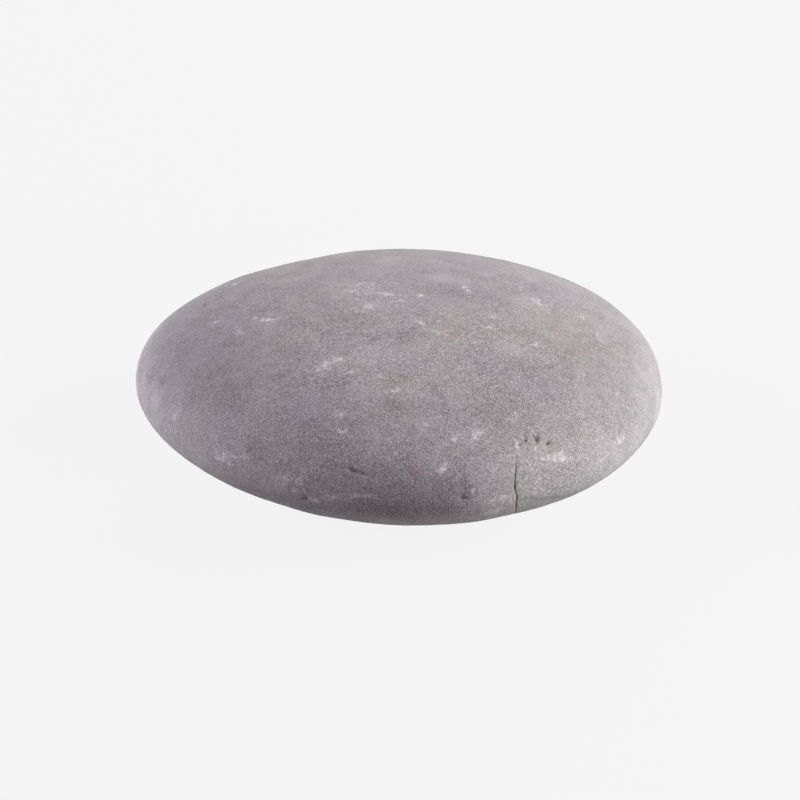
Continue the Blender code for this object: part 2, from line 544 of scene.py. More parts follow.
#: rows of x, y and z of the middle, length, breadth, turn and amount, in millimetres and degrees
PATCHES: dict[Mark, tuple[tuple[float, ...], ...]] = {
    Mark.SCUFF: (
        (24.2, -31.4, 3.9, 5.5, 1.8, -5, 0.85), (25.5, -30.9, 3.4, 2.4, 2, 0, 0.85),
        (22.4, -32, 4.2, 2.8, 1, 5, 0.75), (-29.5, -28, 1.6, 4, 1.8, 30, 0.85),
        (-27.5, -28.8, 2.4, 3, 1.2, 0, 0.7), (6, -36.5, 5, 2.4, 1.6, 45, 1),
        (-13, -19.5, 14, 3.4, 1.8, 45, 1), (2.5, -8.4, 16.2, 4, 1.2, -40, 0.8),
        (5.5, -11, 15.8, 3.5, 1.2, -25, 0.85), (-11, -18.5, 14.5, 3, 1.2, 10, 0.8),
        (-8.5, -21, 14, 2.2, 1.2, 0, 0.8), (-4.3, -22.5, 13.8, 2.2, 1.4, 30, 0.85),
        (-9, 2.5, 16.4, 3, 1, 0, 0.7), (-8, 5, 16.4, 2.5, 1, 30, 0.6),
        (23, 2.5, 14.5, 4, 2.4, -45, 0.75), (18.2, -32.3, 6.7, 1.6, 1, 45, 0.7),
        (19.3, -30.9, 7.5, 2.2, 0.8, 40, 0.65), (17.2, -32.7, 6.7, 1.2, 0.8, 0, 0.55),
        (-23.5, -5, 15, 3.4, 2, -35, 1), (11.5, -32, 8.5, 2.4, 1.6, 45, 1),
        (8, -33, 8.5, 2.2, 1.2, 25, 0.85), (36, -23, 2, 2.6, 1.6, 20, 0.65),
        (-1.5, -25.5, 13, 2.6, 1.1, 5, 0.8), (-6, 3, 16.5, 8, 3, 75, 0.6),
        (-6, -3, 16.5, 3.4, 1.4, 90, 0.75), (-0.5, -1, 16.5, 3, 2, -55, 0.7),
        (-2.5, 0.8, 16.5, 6, 1.2, -12, 0.7), (-5, 1, 16.5, 12, 8, 0, 0.25),
        (-10.5, -29, 11, 2.6, 1.2, -30, 0.9), (-9.5, -32, 9, 1.6, 1.1, -5, 0.9),
        (18, -28, 10, 2.2, 1.2, 30, 0.8), (-38, -19, 4.5, 2.2, 1.5, 30, 0.8),
        (3.5, -31.5, 10, 1.8, 1.1, 25, 0.85), (11, 4, 16, 4, 1.4, -75, 0.8),
        (33.5, -5, 11, 4, 1.4, -75, 0.7), (-28, -7, 14, 2.4, 1.4, -70, 0.8),
        (22, -12, 14, 2, 1.4, 35, 0.75), (11, -37.5, 1.5, 1.1, 0.7, 45, 0.9),
        (16, -36, -1, 2.6, 1.8, 30, 0.85), (14.5, -35.8, -3.5, 5, 1.2, 10, 0.85),
        (-19.5, -33.5, 1.4, 3, 1.8, 0, 0.8), (-17, -34.5, 1.3, 2.4, 1.6, 60, 0.8),
        (-17.3, -34.4, -0.5, 2.6, 1, 10, 0.85), (-11.2, -36.4, -0.5, 3, 1.1, 10, 0.85),
        (-8.2, -37.2, 0.2, 2, 1, 30, 0.75), (-5.6, -37.6, 0.7, 2.6, 1, 5, 0.8),
        (-14.5, -35.1, -1.8, 1.8, 0.9, 0, 1), (13.5, -36.8, -1, 6, 3.5, -30, 0.6),
        (20.5, -32.5, 3, 9, 5, -10, 0.35), (23.5, -33, -1.5, 4.5, 0.6, -32, 0.6),
    ),
    Mark.PALE: (
        (13, -36.5, 2.5, 12, 9, 0, 0.6), (11.5, -37.2, -0.8, 8, 4, 0, 0.8),
        (30, 15, 10.5, 26, 7, -25, 0.35), (17.5, -14, 14.5, 5, 4, 0, 0.5),
        (22.5, -31, 6.8, 6, 4, 0, 0.35), (24.8, -31.2, 3.7, 5.5, 2.6, 0, 0.6),
        (29, -22, 9.5, 6, 5, 0, 0.3), (12, -35.5, 5.3, 5, 4, 0, 0.4),
        (-4.5, -18, 15, 22, 6, 0, 0.35), (21.5, 1.5, 14.4, 9, 7, 0, 0.35),
        (-23, -25, 10, 12, 12, 0, 0.4), (-7, -23.5, 13.4, 5, 7, 0, 0.4),
        (33, 3, 11.5, 14, 12, -60, 0.3), (-42, -14, 4.5, 5, 3, 60, 0.6),
        (-40.8, -16.7, 3, 4, 2.5, 50, 0.5), (-42.5, -11.5, 5.7, 3, 2, 0, 0.5),
        (-40.5, -10, 8, 3, 2, 40, 0.5), (-43.8, -8, 4, 4, 1.4, 80, 0.5),
        (-38.5, -19.5, 2, 4, 2, 50, 0.4), (-38.5, -17.5, 4, 16, 12, 50, 0.22),
    ),
    # darker patches: dark mottling in the stone; the long ones low on the front and the right end are
    # painted shade below the rim
    Mark.DUSKY_AND_SHADE: (
        (0.5, -37.7, -2.2, 17, 4.5, 0, 0.55), (3, -8, 16.2, 7, 5, 0, 0.35),
        (23, -31.5, -4.5, 14, 6, -20, 0.35), (-18.5, -33.5, 1.5, 14, 8, 0, 0.35),
        (-20, -22, 12.2, 8, 6, 0, 0.3), (15.3, -36.3, 1, 3.5, 5, 0, 0.4),
        (33.5, -26, -2, 10, 6, 0, 0.4), (41, -15, -2.5, 16, 7, 90, 0.4),
        (24.6, -18.1, 12.2, 22, 12, 0, 0.2), (10.5, 3, 16, 16, 9, 0, 0.45),
        (9, 10.5, 15.8, 20, 9, 0, 0.25), (-14, -5.5, 15.9, 22, 10, 0, 0.3),
        (17, -28.5, 9.7, 9, 9, 0, 0.4), (37, -20.5, 3.2, 7, 12, 0, 0.45),
        (9.5, -37.3, 2.5, 4.2, 1.8, -71, 0.6), (6.5, -36.9, 3, 6, 3, 0, 0.4),
        (26.5, -1, 13.5, 5, 1.6, -80, 0.6), (-19.5, -33, -2.5, 3, 2.2, 47, 0.5),
        (-0.5, -14, 15.7, 5, 1.8, 23, 0.5), (-5, -13.5, 15.8, 4, 1.6, 10, 0.5),
        (23, 8.5, 14, 4.2, 1.6, -88, 0.5), (-41.3, -12.5, 7, 3, 1.6, 30, 0.55),
        (-39.5, -15.5, 5.5, 4, 1.6, 60, 0.5), (-44.5, -4.5, 3.5, 5, 1.6, 85, 0.6),
        (-43, -12.5, 3, 4, 1.2, 60, 0.5), (-41, -17.5, 1, 5, 1.4, 50, 0.5),
    ),
    Mark.MAUVE: (
        (-40, -6, 8, 44, 60, 0, 1), (-19.5, -28, 9.6, 30, 24, 0, 0.9),
        (-10, -35.5, 2, 46, 22, 0, 1), (-30, -24, 5, 24, 30, 0, 1), (-24, -31, -2, 24, 12, 0, 1),
        (-4, 1.5, 16.5, 15, 10, 0, 0.7), (22.5, -21.5, 12, 8, 6, 0, 0.6),
        (-12.5, -11.5, 15.2, 7, 5, 0, 0.6), (7, -32, 9, 8, 6, 0, 0.8),
        (-8, -18, 14.8, 66, 44, 0, 0.45), (0, 8, 16, 90, 44, 0, 0.48),
    ),
    Mark.RUST: (
        (-29, -19.5, 10.6, 12, 11, 0, 1), (-29.7, 0.6, 13.8, 5, 7, 0, 0.8),
        (-37.1, -1.1, 11.4, 4, 6, 0, 0.8), (-20.5, -29, 8.5, 14, 12, 0, 1),
        (-10, -34.5, 5, 12, 7, 0, 0.7), (-15.5, -31.5, 7.5, 14, 12, 0, 1),
        (-24, -31, -1.5, 16, 8, 0, 1), (0.9, -21.8, 14, 12, 5, 0, 0.6),
        (29.3, -9.3, 12.2, 8, 12, 0, 0.4), (2, -37.1, 4.7, 5, 3, 0, 0.6),
        (-2, -37.8, -2.2, 22, 6, 0, 0.5), (-19, -34.5, 0, 20, 9, 0, 0.9),
    ),
    Mark.OCHRE: (
        (8, -10, 15.7, 7, 14, 0, 0.8), (0, -23.5, 13.5, 16, 6, 0, 0.6),
        (28, -8, 12.8, 12, 11, 0, 0.75), (26, -2, 13.7, 34, 16, -10, 0.5),
        (17, -8, 15, 12, 8, 0, 0.5), (2.5, -37, 4.5, 5, 3, 0, 0.9), (0, -37.2, -4.5, 40, 6, 0, 0.8),
    ),
    Mark.COOL: (
        (43, -8, 2, 70, 20, 0, 0.5), (36, -20, 0, 26, 22, 0, 0.4),
    ),
    Mark.RUBBED: (
        (18.9, -33.1, 5.4, 2.2, 2.6, 0, 0.9), (24, -31.3, -5.4, 9, 5, -20, 1),
        (0, -37, -6, 56, 5, 0, 0.15), (0, -28, 10.5, 60, 12, 0, 0.4), (0, 22, 14, 110, 56, 0, 0.85),
        (0, 33, 8, 90, 24, 0, 0.95), (-41, -4, 6, 56, 56, 0, 0.8), (42, -6, 4, 50, 44, 0, 0.85),
        (0, -14, 15.6, 80, 36, 0, 0.2), (0, 36, 0, 90, 30, 0, 0.6), (3, 0.2, -15.9, 80, 64, 0, 0.6),
    ),
}


@dataclass(frozen=True)
class Scatter:
    """Spots of one kind, strewn over the stone.

    Attributes:
        mark: which kind they are.
        count: how many there are.
        shortest: the length of the shortest, in millimetres.
        longest: the length of the longest.
        strongest: the greatest amount.
        all_round: whether they are also on the side that shows.
        narrowest: the least breadth, as a part of the length.
        power: how steep their edges are.
    """

    mark: Mark
    count: int
    shortest: float
    longest: float
    strongest: float = 1.0
    all_round: bool = False
    narrowest: float = 0.3
    power: float = 2.5


@dataclass(frozen=True)
class StrewnWear:
    """Small scuffs, stains and pits, placed by seeded chance.

    Attributes:
        patches: the kinds of scuff and stain that are strewn.
        pits: the pits on the side that doesn't show.
        broadest: the greatest breadth, as a part of the length.
        weakest: the least amount, as a part of the greatest.
        showing: the direction that the showing side faces.
        hidden_below: how little a point may face that way to be on the hidden side.
    """

    patches: tuple[Scatter, ...] = (
        Scatter(Mark.SCUFF, 36, 1.2, 4.0, 0.8),
        Scatter(Mark.SCUFF, 130, 0.8, 2.2, 0.8, all_round=True),
        Scatter(Mark.MAUVE, 7, 9.0, 20.0),
        Scatter(Mark.RUST, 12, 1.5, 10.0),
        Scatter(Mark.PALE, 100, 2.0, 7.0, 0.42, all_round=True),
        Scatter(Mark.DUSKY_AND_SHADE, 80, 1.5, 6.0, 0.5, all_round=True),
        Scatter(Mark.OCHRE, 6, 3.0, 12.0, 0.8),
    )
    pits: tuple[Scatter, ...] = (Scatter(Mark.HOLLOW, 9, 0.7, 2.0, 0.4, narrowest=0.4, power=3.0),)
    broadest: float = 0.9
    weakest: float = 0.5
    showing: Point = (0.0, -0.857, 0.515)
    hidden_below: float = -0.1

    def strew(
        self, form: PebbleForm, kinds: tuple[Scatter, ...], seed: Seed
    ) -> dict[Mark, list[Spot]]:
        """Draw spots, each value anywhere from its least to its greatest.

        Each kind tries more places than it needs, because some are on the wrong side.

        Args:
            form: the stone's form.
            kinds: their kinds, in the order of the draws.
            seed: where the draws start.

        Returns:
            The spots of every mark.
        """
        draw = np.random.default_rng(seed)
        found: dict[Mark, list[Spot]] = {mark: [] for mark in Mark}
        for kind in kinds:
            tries = 8 * kind.count + 20
            aims = draw.normal(size=(tries, 3))
            aims /= np.linalg.norm(aims, axis=1, keepdims=True)
            points = form.points(aims)
            hidden = form.outward_at(points) @ np.array(self.showing) < self.hidden_below
            for place in points[hidden | kind.all_round][: kind.count] / MM:
                length = draw.uniform(kind.shortest, kind.longest)
                breadth = length * draw.uniform(kind.narrowest, self.broadest)
                turn = draw.uniform(0.0, 180.0)
                amount = kind.strongest * draw.uniform(self.weakest, 1.0)
                spot = Spot(tuple(place), length, breadth, turn, amount, kind.power)
                found[kind.mark].append(spot)
        return found


# --- The stone's material ------------------------------------------------------------------


class Lay(Enum):
    """How a colour lies on the grains, by the name of its blend."""

    SOAKED = "MULTIPLY"
    COATED = "MIX"


@dataclass(frozen=True)
class Fray:
    """Noise that breaks up a mark: it shows where mark + sway * (noise - 0.5) is high.

    Attributes:
        size: how far apart the noise's clouds are.
        sway: how much the noise counts.
        low: the sum where the mark begins to show.
        high: the sum where it shows in full.
    """

    size: float
    sway: float
    low: float
    high: float

    def build(self, tree: Tree, place: Socket, mark: Socket) -> Socket:
        """Break up one mark.

        Args:
            tree: the material's node tree.
            place: the Object coordinates.
            mark: how much of the mark there is.

        Returns:
            The socket of how much shows, from 0 to 1.
        """
        clouds = {"Vector": place, "Scale": 1.0 / self.size, "Detail": 3.0}
        noise = add_node(tree, "TexNoise", {}, clouds).outputs["Fac"]
        added = {"operation": "MULTIPLY_ADD"}
        total = add_node(tree, "Math", added, {0: noise, 1: self.sway, 2: mark}).outputs[0]
        shown = {
            "Value": total,
            "From Min": self.low + self.sway / 2.0,
            "From Max": self.high + self.sway / 2.0,
        }
        return add_node(tree, "MapRange", {"interpolation_type": "SMOOTHSTEP"}, shown).outputs[0]


@dataclass(frozen=True)
class Tint:
    """A colour that lies over the grains where the stone has a mark.

    Attributes:
        mark: the mark that it follows.
        colour: the colour, in sRGB.
        lay: how it lies on the grains.
        fray: what breaks it up, if anything does.
        cover: how much of the grains it hides where it is in full.
    """

    mark: Mark
    colour: str
    lay: Lay
    fray: Fray | None = None
    cover: float = 1.0


@dataclass(frozen=True)
class WornGreywacke:
    """Greywacke, a fine, dark sandstone, rubbed dull by river sand.

    It gives the eye a mauve grey of tightly packed sand grains, each a little lighter or
    darker than the next, with faint mauve, rusty and ochre clouds where iron has stained
    it, a cooler end, and whitish bruises where other stones have struck it.

    Its sand grains have their real size, 0.1 to 0.5 mm. Real silt is under 0.06 mm and
    wouldn't show, so it is drawn about three times as coarse.

    Attributes:
        dark_grain: the colour of the darkest grains.
        light_grain: the colour of the lightest grains.
        grain_size: how far apart the sand grains are.
        grain_power: how few of the grains are light ones. At 1, light and dark are even.
        grain_share: how much the grains sway the tone.
        silt_size: how far apart the specks of silt among the grains are.
        silt_power: how few of the specks are light.
        silt_spread: how far the silt's noise strays from its mean of 0.5.
        silt_share: how much the silt sways the tone.
        clump_size: how far apart clumps of like grains are.
        clump_share: how much they sway the tone.
        cloud_size: how far apart broad, faint clouds are.
        cloud_share: how much they sway the tone.
        rubbing: how much of the grain is lost where the stone is rubbed smooth.
        unevenness: how much the grain comes and goes from cloud to cloud.
        lifts: how much each mark lightens the stone, or darkens it where the lift is below 0. The
            dusky darkening is partly dark tone in the stone and partly painted shade low on the front
            rim.
        bruise_lift: how much a bruise lightens it.
        streak_size: how far apart the streaks of a bruise are.
        streak_draw: how much of their closeness is left along X, which draws them out.
        streak_width: how far the streaks' noise is from 0.5 at their edges.
        between_streaks: how much of a scuff there is between them.
        on_streaks: how much there is on them.
        bruise: what breaks a bruise up.
        tints: the colours on the grains, from the lowest to the topmost.
        roughness: how dull the stone is.
        ior: the mean refractive index of quartz and feldspar, of which its grains are.
        grain_relief: how far grains stand out of the surface.
        relief_roughness: how much the finer noise adds to that.
    """

    dark_grain: str = "4a4547"
    light_grain: str = "a49e9f"
    grain_size: float = 0.27 * MM
    grain_power: float = 3.0
    grain_share: float = 0.30
    silt_size: float = 0.17 * MM
    silt_power: float = 2.0
    silt_spread: float = 0.12
    silt_share: float = 2.5
    clump_size: float = 1.0 * MM
    clump_share: float = 0.33
    cloud_size: float = 5.0 * MM
    cloud_share: float = 0.30
    rubbing: float = 0.7
    unevenness: float = 0.5
    lifts: tuple[tuple[Mark, float], ...] = (
        (Mark.PALE, 0.25),
        # this darkening is partly painted shade low on the front rim
        (Mark.DUSKY_AND_SHADE, -0.25),
        (Mark.MAUVE, 0.045),
        (Mark.SCUFF, 0.08),
    )
    bruise_lift: float = 0.75
    streak_size: float = 1.2 * MM
    streak_draw: float = 0.5
    streak_width: float = 0.08
    between_streaks: float = 0.65
    on_streaks: float = 1.25
    bruise: Fray = Fray(0.20 * MM, 2.4, 0.28, 1.2)
    tints: tuple[Tint, ...] = (
        Tint(Mark.MAUVE, "f6f1ff", Lay.SOAKED, Fray(6.5 * MM, 0.9, 0.0, 1.1)),
        Tint(Mark.RUST, "fff8f9", Lay.SOAKED, Fray(4.55 * MM, 1.8, 0.1, 1.2)),
        Tint(Mark.OCHRE, "fff8f2", Lay.SOAKED, Fray(3.25 * MM, 1.8, 0.1, 1.2)),
        Tint(Mark.COOL, "f8fffe", Lay.SOAKED),
        Tint(Mark.SCUFF, "c0bbc1", Lay.COATED, cover=0.28),
        Tint(Mark.LIP, "8a7470", Lay.COATED, Fray(0.28 * MM, 1.0, 0.3, 1.3)),
        # the pits' dark fill: the dirt they hold, and painted shade in their hollows
        Tint(Mark.HOLLOW, "4a4340", Lay.COATED, Fray(0.28 * MM, 1.4, 0.2, 1.0)),
        Tint(Mark.CRACK, "6e5a54", Lay.COATED),
    )
    roughness: float = 0.85
    ior: float = 1.54
    grain_relief: float = 0.02 * MM
    relief_roughness: float = 0.6

    def build(self) -> bpy.types.Material:
        """Make the material.

        Returns:
            The material, which reads Object coordinates and the stone's marks.
        """
        material = bpy.data.materials.new("worn_greywacke")
        material.use_nodes = True
        tree = material.node_tree
        tree.nodes.clear()
        place = add_node(tree, "TexCoord", {}, {}).outputs["Object"]
        marks = {
            mark: add_node(tree, "Attribute", {"attribute_name": mark.value}, {}).outputs["Fac"]
            for mark in Mark
        }
        bruised = self.bruised(tree, place, marks[Mark.SCUFF])
        tone = self.tone(tree, place, marks, bruised)
        grains = {"Vector": place, "Scale": 1.0 / self.grain_size, "Roughness": self.relief_roughness}
        relief = add_node(tree, "TexNoise", {}, grains).outputs["Fac"]
        bump = add_node(tree, "Bump", {}, {"Height": relief, "Distance": self.grain_relief})
        surface = {
            "Base Color": self.colour(tree, place, tone, {**marks, Mark.SCUFF: bruised}),
            "Roughness": self.roughness,
            "IOR": self.ior,
            "Normal": bump.outputs["Normal"],
        }
        shader = add_node(tree, "BsdfPrincipled", {}, surface)
        add_node(tree, "OutputMaterial", {}, {"Surface": shader.outputs["BSDF"]})
        return material

    def bruised(self, tree: Tree, place: Socket, scuff: Socket) -> Socket:
        """Break scuffs up into thin, curved, chalky streaks, where a noise crosses its middle.

        Args:
            tree: the material's node tree.
            place: the Object coordinates.
            scuff: how scuffed the surface is.

        Returns:
            The socket of how bruised the stone is, from 0 to 1.
        """
        drawn = add_node(tree, "Mapping", {}, {"Vector": place, "Scale": (self.streak_draw, 1.0, 1.0)})
        rolling = {"Vector": drawn.outputs["Vector"], "Scale": 1.0 / self.streak_size, "Detail": 1.0}
        noise = add_node(tree, "TexNoise", {}, rolling).outputs["Fac"]
        folded = add_node(tree, "Math", {"operation": "PINGPONG"}, {0: noise, 1: 0.5}).outputs[0]
        streak = {
            "Value": folded,
            "From Min": 0.5 - self.streak_width,
            "From Max": 0.5,
            "To Min": self.between_streaks,
            "To Max": self.on_streaks,
        }
        amount = add_node(tree, "MapRange", {}, streak).outputs["Result"]
        streaked = add_node(tree, "Math", {"operation": "MULTIPLY"}, {0: scuff, 1: amount})
        return self.bruise.build(tree, place, streaked.outputs[0])

    def tone(self, tree: Tree, place: Socket, marks: dict[Mark, Socket], bruised: Socket) -> Socket:
        """How light each grain is, from 0 to 1.

        The grains and the silt, each raised to its power, sway it about its middle by
        their shares, and less so where the stone is rubbed or a slow noise is high. The
        clumps and the clouds are added by their shares, and the marks by their lifts.

        Args:
            tree: the material's node tree.
            place: the Object coordinates.
            marks: how much of each mark there is.
            bruised: how bruised the stone is.

        Returns:
            The tone's socket.
        """
        cells = add_node(tree, "TexVoronoi", {}, {"Vector": place, "Scale": 1.0 / self.grain_size})
        grain = add_node(tree, "SeparateColor", {}, {0: cells.outputs["Color"]}).outputs[0]
        sizes = self.silt_size, self.cloud_size, self.clump_size, self.cloud_size
        details = 1.0, 1.0, 2.0, 2.0
        silt, uneven, clumps, clouds = (
            add_node(
                tree, "TexNoise", {}, {"Vector": place, "Scale": 1.0 / size, "Detail": detail}
            ).outputs["Fac"]
            for size, detail in zip(sizes, details)
        )
        grain, silt = (
            add_node(tree, "Math", {"operation": "POWER"}, {0: speck, 1: power}).outputs[0]
            for speck, power in ((grain, self.grain_power), (silt, self.silt_power))
        )
        mean_grain = 1.0 / (1.0 + self.grain_power)
        mean_silt = 0.5**self.silt_power + self.silt_spread**2
        mean_sway = self.grain_share * mean_grain + self.silt_share * mean_silt
        shares = ((grain, self.grain_share), (silt, self.silt_share))
        sway = self.weighed(tree, -mean_sway, shares)
        losses = ((marks[Mark.RUBBED], -self.rubbing), (uneven, -self.unevenness))
        kept = self.weighed(tree, 1.0 + self.unevenness / 2.0, losses)
        lifts = ((marks[mark], lift) for mark, lift in self.lifts)
        added = ((clumps, self.clump_share), (clouds, self.cloud_share), *lifts)
        middle = 0.5 - (self.clump_share + self.cloud_share) / 2.0
        return self.weighed(tree, middle, ((sway, kept), *added, (bruised, self.bruise_lift)))

    def weighed(
        self, tree: Tree, start: float, parts: tuple[tuple[Socket, float | Socket], ...]
    ) -> Socket:
        """Add parts up by their shares: start + the sum of part * share.

        Args:
            tree: the material's node tree.
            start: what they are added to.
            parts: each part and its share.

        Returns:
            The sum's socket.
        """
        total = start
        for part, share in parts:
            terms = {0: part, 1: share, 2: total}
            total = add_node(tree, "Math", {"operation": "MULTIPLY_ADD"}, terms).outputs[0]
        return total

    def colour(self, tree: Tree, place: Socket, tone: Socket, marks: dict[Mark, Socket]) -> Socket:
        """Colour the grains, then lay every tint over them.

        Args:
            tree: the material's node tree.
            place: the Object coordinates.
            tone: how light each grain is.
            marks: how much of each mark there is.

        Returns:
            The colour's socket.
        """
        mixed = {"data_type": "RGBA", "clamp_factor": False}
        ends = {0: tone, 6: linear(self.dark_grain), 7: linear(self.light_grain)}
        colour = add_node(tree, "Mix", mixed, ends).outputs[2]
        for tint in self.tints:
            share = marks[tint.mark]
            if tint.fray:
                share = tint.fray.build(tree, place, share)
            cover = {0: share, 1: tint.cover}
            hidden = add_node(tree, "Math", {"operation": "MULTIPLY"}, cover).outputs[0]
            laid = {"data_type": "RGBA", "blend_type": tint.lay.value}
            ends = {0: hidden, 6: colour, 7: linear(tint.colour)}
            colour = add_node(tree, "Mix", laid, ends).outputs[2]
        return colour


# --- The stone -----------------------------------------------------------------------------


@dataclass(frozen=True)
class Crowd:
    """A place where the grid's lines stand closer together.

    Attributes:
        middle: its middle, from -1 to 1 across the grid, or measured from the crack.
        reach: how far out the crowding has faded to a third.
        extra: how many more lines there are for each one.
    """

    middle: float
    reach: float
    extra: float


@dataclass
class Pebble:
    """The stone: a closed surface on a grid wrapped round it, and the marks it carries.

    Attributes:
        form: the stone's whole form.
        crack: the crack in its rim.
        wear: the small wear strewn over it.
        finish: what it is made of.
        cells: how many cells the wrapped grid has along X, Y and Z.
        crack_crowds: where the grid's lines crowd along X, measured from the crack.
        front_crowds: where they crowd along Z.
        crack_pull: how far round from the crack the grid bends to follow it, in radians.
        lumps: wavelength and height of each size of lump, from the broadest to the finest.
        ragged_pits: what makes the edges of pits ragged.
        ragged_scuffs: what makes the edges of scuffs ragged.
        flat_rounding: how softly the resting flat meets the rest.
        corners: the four corners of each cell of the grid.
        aims: the direction of each of the grid's points.
        smooth: the unworn surface there, measured from the middle of the rim.
    """

    form: PebbleForm = PebbleForm()
    crack: Crack = Crack()
    wear: StrewnWear = StrewnWear()
    finish: WornGreywacke = WornGreywacke()
    cells: tuple[int, int, int] = (186, 138, 72)
    crack_crowds: tuple[Crowd, ...] = (Crowd(0.0, 0.022, 6.0), Crowd(0.06, 0.08, 1.2))
    front_crowds: tuple[Crowd, ...] = (Crowd(0.40, 0.16, 0.9),)
    crack_pull: float = 0.16
    lumps: tuple[tuple[float, float], ...] = (
        (17.0 * MM, 0.035 * MM),
        (7.0 * MM, 0.014 * MM),
        (3.0 * MM, 0.010 * MM),
        (1.5 * MM, 0.006 * MM),
    )
    ragged_pits: Ragged = Ragged(0.14, 0.9 * MM, 0.6, 1.4, Seed.RAGGED_PITS)
    ragged_scuffs: Ragged = Ragged(0.38, 1.1 * MM, 0.45, 1.9, Seed.RAGGED_SCUFFS)
    flat_rounding: float = 0.05 * MM
    corners: np.ndarray = field(init=False)
    aims: np.ndarray = field(init=False)
    smooth: np.ndarray = field(init=False)

    def __post_init__(self) -> None:
        """Lay out the grid, and the unworn surface on it."""
        places, self.corners = self.wrap()
        self.aims = self.laid_out(places)
        self.smooth = self.form.points(self.aims)

    def lines(self, cells: int, crowds: tuple[Crowd, ...], start: float) -> np.ndarray:
        """Grid lines from -1 to 1, closer together where a crowd is.

        Their spacing goes as the inverse of 1 + the sum of extra * exp(-((t - middle) / reach)^2).

        Args:
            cells: how many cells there are from end to end.
            crowds: where the lines crowd.
            start: what the middles of the crowds are measured from.

        Returns:
            The lines' places, cells + 1 of them.
        """
        samples = 20001
        fine = np.linspace(-1.0, 1.0, samples)
        density = np.ones_like(fine)
        for crowd in crowds:
            away = (fine - (crowd.middle + start)) / crowd.reach
            density += crowd.extra * np.exp(-(away**2))
        run = np.concatenate([[0.0], np.cumsum((density[1:] + density[:-1]) / 2.0)])
        return np.interp(np.linspace(0.0, run[-1], cells + 1), run, fine)

    def wrap(self) -> tuple[np.ndarray, np.ndarray]:
        """Lay one grid over the six sides of a box, with its edges shared.

        Returns:
            The whole-number places of the grid's points on the box, one row each, and the
            four corners of each cell, turned so that its face points outwards.
        """
        corners = []
        count = 0
        places = []
        for axis in range(3):
            first, second = (axis + 1) % 3, (axis + 2) % 3
            steps = np.arange(self.cells[first] + 1), np.arange(self.cells[second] + 1)
            u, v = np.meshgrid(*steps, indexing="ij")
            number = np.arange(u.size).reshape(u.shape)
            round_cell = number[:-1, :-1], number[1:, :-1], number[1:, 1:], number[:-1, 1:]
            cell = np.stack(round_cell, axis=-1)
            for end in (self.cells[axis], 0):
                place = np.zeros((u.size, 3), dtype=np.int64)
                place[:, axis] = end
                place[:, first] = u.ravel()
                place[:, second] = v.ravel()
                places.append(place)
                turned = cell if end else cell[..., ::-1]
                corners.append(turned.reshape(-1, 4) + count)
                count += u.size
        whole, index = np.unique(np.concatenate(places), axis=0, return_inverse=True)
        return whole, index.reshape(-1)[np.concatenate(corners)]

    def laid_out(self, places: np.ndarray) -> np.ndarray:
        """Carry the grid's places on the box to unit directions, crowded at the crack.

        A place p from -1 to 1 on the box goes to tan(p pi / 4), which spaces the lines
        nearly evenly on the sphere. Near the crack, the directions are then turned about Z
        by shift * exp(-(t / crack_pull)^2), so that one grid line follows the crack down.

        Args:
            places: the whole-number places of the grid's points.

        Returns:
            A unit direction for each of them.
        """
        route = self.crack.route(self.form)
        middle = float(route[:, 1].mean())
        crack_place = -math.atan(1.0 / math.tan(middle)) * 4.0 / math.pi
        crowding = ((self.crack_crowds, crack_place), ((), 0.0), (self.front_crowds, 0.0))
        lines = [self.lines(cells, *crowds) for cells, crowds in zip(self.cells, crowding)]
        box = np.stack([lines[axis][places[:, axis]] for axis in range(3)], axis=1)
        aims = np.tan(box * math.pi / 4.0)
        aims /= np.linalg.norm(aims, axis=1, keepdims=True)
        turn = np.arctan2(aims[:, 1], aims[:, 0])
        shift = np.interp(aims[:, 2], route[:, 0], route[:, 1]) - middle
        turn += shift * np.exp(-(((turn - middle) / self.crack_pull) ** 2))
        outward = np.hypot(aims[:, 0], aims[:, 1])
        return np.stack([outward * np.cos(turn), outward * np.sin(turn), aims[:, 2]], axis=1)

    def build(self) -> bpy.types.Object:
        """Make the stone's mesh and its marks, and dress it.

        Returns:
            The stone's object, at the origin, with its place in its mesh.
        """
        marks = {mark: np.zeros(len(self.smooth)) for mark in Mark}
        height = self.lumpiness() - self.scooped(marks) - self.creased() - self.cracked(marks)
        self.lay_patches(marks)
        points = self.smooth + self.form.outward_at(self.smooth) * height[:, None]
        stone = self.mesh_object(self.stand(points), marks)
        stone.data.materials.append(self.finish.build())
        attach(stone, BODY)
        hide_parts(NODE)
        return stone

    def lumpiness(self) -> np.ndarray:
        """The stone's slight lumps: the sum of each size's height times its ripples."""
        sizes = enumerate(self.lumps, start=Seed.LUMPS)
        return sum(size * ripples(self.smooth, length, seed) for seed, (length, size) in sizes)

    def scooped(self, marks: dict[Mark, np.ndarray]) -> np.ndarray:
        """Press the pits and dips in.

        Args:
            marks: how much of each mark there is. The pits' dark fill is added: their dirt and painted
                shade in them.

        Returns:
            How deep they are at each point.
        """
        depth = np.zeros(len(self.smooth))
        ragged = self.ragged_pits.factor(self.smooth)
        strewn = self.wear.strew(self.form, self.wear.pits, Seed.PITS)[Mark.HOLLOW]
        for pit in (*map(Spot.from_row, PITS), *strewn):
            fade = pit.fade(self.form, self.smooth, ragged)
            depth += pit.amount * MM * fade
            # dark fill of the pits: dirt and painted shade
            marks[Mark.HOLLOW] = np.maximum(marks[Mark.HOLLOW], pit.dirt_and_shade * fade)
        return depth

    def creased(self) -> np.ndarray:
        """How much lower each point lies past the creases."""
        return sum(crease.drop(self.form, self.smooth) * MM for crease in CREASES)

